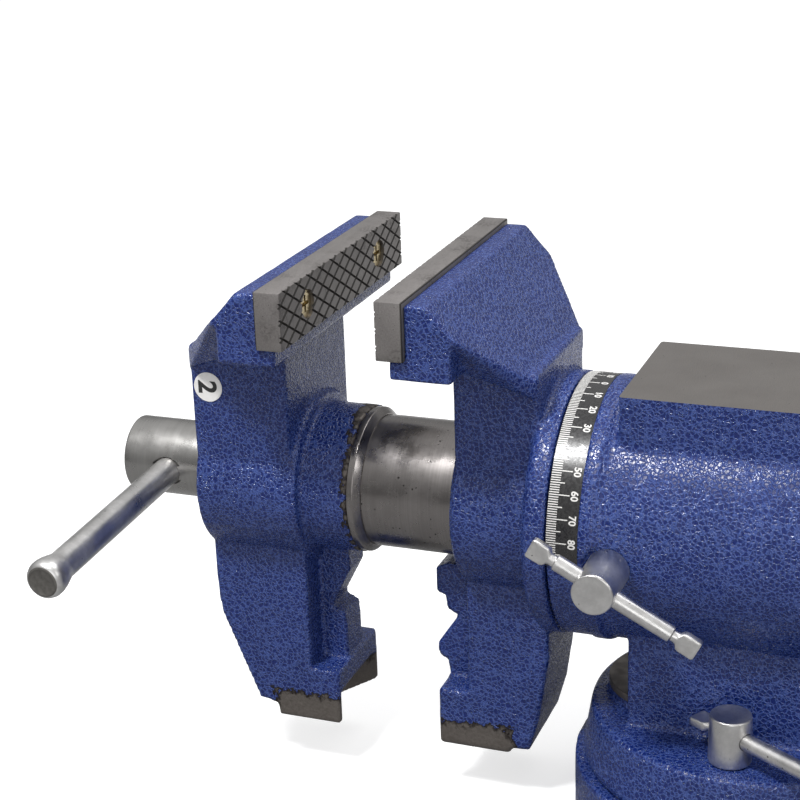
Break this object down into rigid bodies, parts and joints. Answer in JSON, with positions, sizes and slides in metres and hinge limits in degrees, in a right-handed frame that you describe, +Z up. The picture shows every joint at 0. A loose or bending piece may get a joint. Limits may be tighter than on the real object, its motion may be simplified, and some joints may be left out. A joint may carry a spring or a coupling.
{
  "type": "multi-purpose bench vise",
  "caption": "Swivel-base bench vise with a rotating head, wide serrated jaws above toothed pipe jaws, a round slide, a degree band, T-bar locks and a flat anvil.",
  "frame": {"origin": "on the swivel axis, at the underside of the base", "axes": "+Z up along the swivel axis, +X from the sliding front jaw towards the back of the vise along the screw, +Y to the vise's far side"},
  "size_m": [0.4103, 0.2337, 0.2647],
  "materials": {
    "blue_paint": "hammered gloss enamel over cast iron",
    "machined_iron": "milled, with faint tool marks",
    "jaw_steel": "ground and hardened, cross-cut serrations",
    "slide_steel": "ground, with streaks and small pits",
    "bright_steel": "bright zinc plate",
    "dark_steel": "black oxide",
    "zinc": "zinc plate",
    "yellow_zinc": "yellow zinc plate",
    "bronze": "machined bronze",
    "printed_band": "black printed band with white degree marks",
    "sticker": "matt white label"
  },
  "bodies": {
    "base": {"base_casting": "blue_paint"},
    "body": {"body_casting": "blue_paint", "degree_band": "printed_band", "band_rivets": "zinc", "clamp_nut_near": "dark_steel", "clamp_nut_far": "dark_steel", "head_lock_pad": "bronze", "pivot_bolt": "zinc", "pivot_washer": "zinc"},
    "head": {"fixed_jaw_casting": "blue_paint", "fixed_jaw_plate": "jaw_steel", "fixed_plate_screws": "yellow_zinc", "retaining_ring": "machined_iron", "retaining_screws": "dark_steel", "lead_nut": "bronze", "nut_screw": "dark_steel"},
    "moving_jaw": {"moving_jaw_casting": "blue_paint", "moving_jaw_plate": "jaw_steel", "moving_plate_screws": "yellow_zinc", "slide_tube": "slide_steel", "slide_collar": "slide_steel", "slide_set_screw": "dark_steel", "thrust_washer": "zinc", "round_sticker": "sticker"},
    "screw": {"lead_screw": "bright_steel", "thrust_collar": "dark_steel", "collar_pin": "bright_steel"},
    "handle": {"handle_bar": "bright_steel", "handle_end": "bright_steel"},
    "head_lock": {"head_lock_screw": "bright_steel"},
    "head_lock_tommy_bar": {"head_lock_bar": "bright_steel"},
    "near_lock": {"swivel_lock_screw_near": "bright_steel"},
    "near_lock_tommy_bar": {"swivel_lock_bar_near": "bright_steel"},
    "far_lock": {"swivel_lock_screw_far": "bright_steel"},
    "far_lock_tommy_bar": {"swivel_lock_bar_far": "bright_steel"}
  },
  "joints": [
    {"name": "base_swivel", "type": "hinge", "parent": "base", "child": "body", "pos_m": [0, 0, 0], "axis": [0, 0, 1], "continuous": true},
    {"name": "head_turn", "type": "hinge", "parent": "body", "child": "head", "pos_m": [0, 0, 0.15], "axis": [1, 0, 0], "continuous": true},
    {"name": "jaw_slide", "type": "slide", "parent": "head", "child": "moving_jaw", "axis": [1, 0, 0], "range_m": [-0.106, 0.044]},
    {"name": "screw_turn", "type": "hinge", "parent": "moving_jaw", "child": "screw", "pos_m": [-0.29, 0, 0.15], "axis": [1, 0, 0], "range_deg": [-6361, 2641]},
    {"name": "handle_slide", "type": "slide", "parent": "screw", "child": "handle", "axis": [0, -0.9986, -0.0523], "range_m": [-0.103, 0.024]},
    {"name": "head_lock_turn", "type": "hinge", "parent": "body", "child": "head_lock", "pos_m": [-0.055, -0.07, 0.146], "axis": [0, -1, 0], "range_deg": [0, 60]},
    {"name": "head_lock_bar_slide", "type": "slide", "parent": "head_lock", "child": "head_lock_tommy_bar", "axis": [0.8829, 0, -0.4695], "range_m": [-0.003, 0.012]},
    {"name": "near_lock_turn", "type": "hinge", "parent": "body", "child": "near_lock", "pos_m": [0, -0.058, 0.07], "axis": [0, 0, 1], "range_deg": [0, 40]},
    {"name": "near_lock_bar_slide", "type": "slide", "parent": "near_lock", "child": "near_lock_tommy_bar", "axis": [0.8572, -0.515, 0], "range_m": [-0.004, 0]},
    {"name": "far_lock_turn", "type": "hinge", "parent": "body", "child": "far_lock", "pos_m": [0, 0.058, 0.07], "axis": [0, 0, 1], "range_deg": [0, 40]},
    {"name": "far_lock_bar_slide", "type": "slide", "parent": "far_lock", "child": "far_lock_tommy_bar", "axis": [-0.8572, 0.515, 0], "range_m": [-0.004, 0]}
  ],
  "couplings": [
    {"joint": "screw_turn", "follows": "jaw_slide", "rad_per_m": 1047.2}
  ]
}
